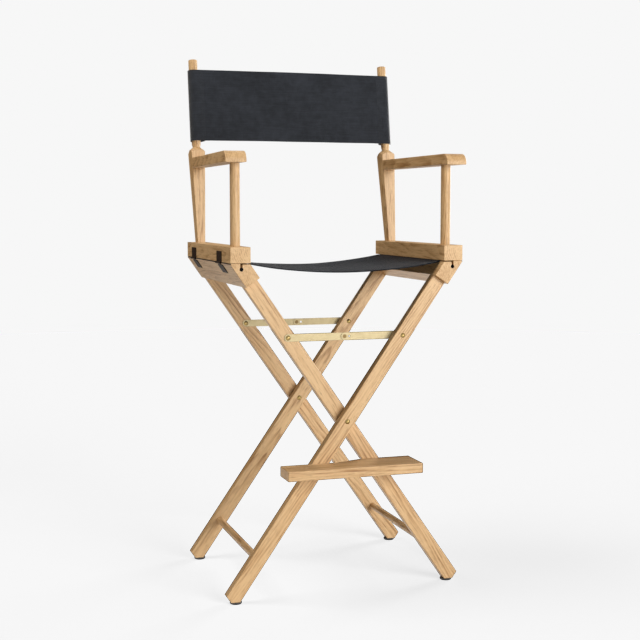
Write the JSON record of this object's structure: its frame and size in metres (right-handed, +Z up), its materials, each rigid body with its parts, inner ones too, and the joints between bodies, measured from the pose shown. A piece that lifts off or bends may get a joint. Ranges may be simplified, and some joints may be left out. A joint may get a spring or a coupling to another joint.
{
  "type": "folding chair",
  "caption": "Tall folding chair with crossed wooden legs, slung cloth seat and back, upright wooden arms, a footrest board and jointed brass stays.",
  "frame": {"origin": "on the floor, in the middle of the open chair's box", "axes": "+Z up, +X to the right as seen from in front of the chair, -Y the way a sitter faces"},
  "size_m": [0.5618, 0.5313, 1.2393],
  "materials": {
    "wood": "clear satin varnish",
    "canvas": "matte woven canvas",
    "brass": "satin plated",
    "steel": "plain",
    "glide": "moulded"
  },
  "bodies": {
    "pivots": {"pivot_bolts": "brass", "pivot_spacers": "brass", "pivot_nuts": "brass"},
    "frame_a": {"leg_a_front": "wood", "leg_a_back": "wood", "stretcher_a": "wood", "glides_a": "glide", "glide_nails_a": "steel", "seat_rail_right": "wood", "hem_rod_right": "steel", "seat_canvas": "canvas", "hinge_lower_leaves_right": "brass", "hinge_pins_right": "brass", "hinge_lower_screws_right": "brass", "stay_screws_a": "brass", "stay_nuts_a": "brass", "footrest_screw": "steel"},
    "frame_b": {"leg_b_front": "wood", "leg_b_back": "wood", "stretcher_b": "wood", "glides_b": "glide", "glide_nails_b": "steel", "seat_rail_left": "wood", "hem_rod_left": "steel", "hinge_lower_leaves_left": "brass", "hinge_pins_left": "brass", "hinge_lower_screws_left": "brass", "stay_screws_b": "brass", "footrest_stud": "steel"},
    "arm_right": {"hinge_upper_leaves_right": "brass", "hinge_upper_screws_right": "brass", "arm_rail_right": "wood", "front_post_right": "wood", "back_post_right": "wood", "armrest_right": "wood", "arm_screws_right": "steel", "armrest_screw_right": "brass", "back_canvas": "canvas"},
    "arm_left": {"hinge_upper_leaves_left": "brass", "hinge_upper_screws_left": "brass", "arm_rail_left": "wood", "front_post_left": "wood", "back_post_left": "wood", "armrest_left": "wood", "arm_screws_left": "steel", "armrest_screw_left": "brass"},
    "footrest": {"footrest": "wood"},
    "stays_a": {"stay_a_front": "brass", "stay_a_back": "brass", "stay_rivet_a_front": "brass", "stay_rivet_a_back": "brass"},
    "stays_b": {"stay_b_front": "brass", "stay_b_back": "brass", "stay_rivet_b_front": "brass", "stay_rivet_b_back": "brass"}
  },
  "joints": [
    {"name": "fold", "type": "hinge", "parent": "pivots", "child": "frame_a", "pos_m": [0, 0, 0.3955], "axis": [0, -1, 0], "range_deg": [0, 29], "deforming": ["seat_canvas", "back_canvas"]},
    {"name": "cross", "type": "hinge", "parent": "frame_a", "child": "frame_b", "pos_m": [0, 0, 0.3955], "axis": [0, -1, 0], "range_deg": [-58, 0]},
    {"name": "arm_hinge_right", "type": "hinge", "parent": "frame_a", "child": "arm_right", "pos_m": [0.27413, 0, 0.7538], "axis": [0, -1, 0], "range_deg": [-29, 0]},
    {"name": "arm_hinge_left", "type": "hinge", "parent": "frame_b", "child": "arm_left", "pos_m": [-0.27413, 0, 0.7538], "axis": [0, -1, 0], "range_deg": [0, 29]},
    {"name": "footrest_pivot", "type": "hinge", "parent": "frame_a", "child": "footrest", "pos_m": [-0.07115, -0.20226, 0.29275], "axis": [0, -1, 0], "range_deg": [-29, 0]},
    {"name": "stays_a_pivot", "type": "hinge", "parent": "frame_a", "child": "stays_a", "pos_m": [0.13223, 0, 0.58646], "axis": [0, -1, 0], "range_deg": [0, 51]},
    {"name": "stays_b_pivot", "type": "hinge", "parent": "frame_b", "child": "stays_b", "pos_m": [-0.13223, 0, 0.58646], "axis": [0, -1, 0], "range_deg": [-51, 0]}
  ],
  "couplings": [
    {"joint": "cross", "follows": "fold", "ratio": -2},
    {"joint": "arm_hinge_right", "follows": "fold", "ratio": -1},
    {"joint": "arm_hinge_left", "follows": "fold", "ratio": 1},
    {"joint": "footrest_pivot", "follows": "fold", "ratio": -1},
    {"joint": "stays_a_pivot", "follows": "fold", "ratio": 1.757},
    {"joint": "stays_b_pivot", "follows": "fold", "ratio": -1.757}
  ]
}
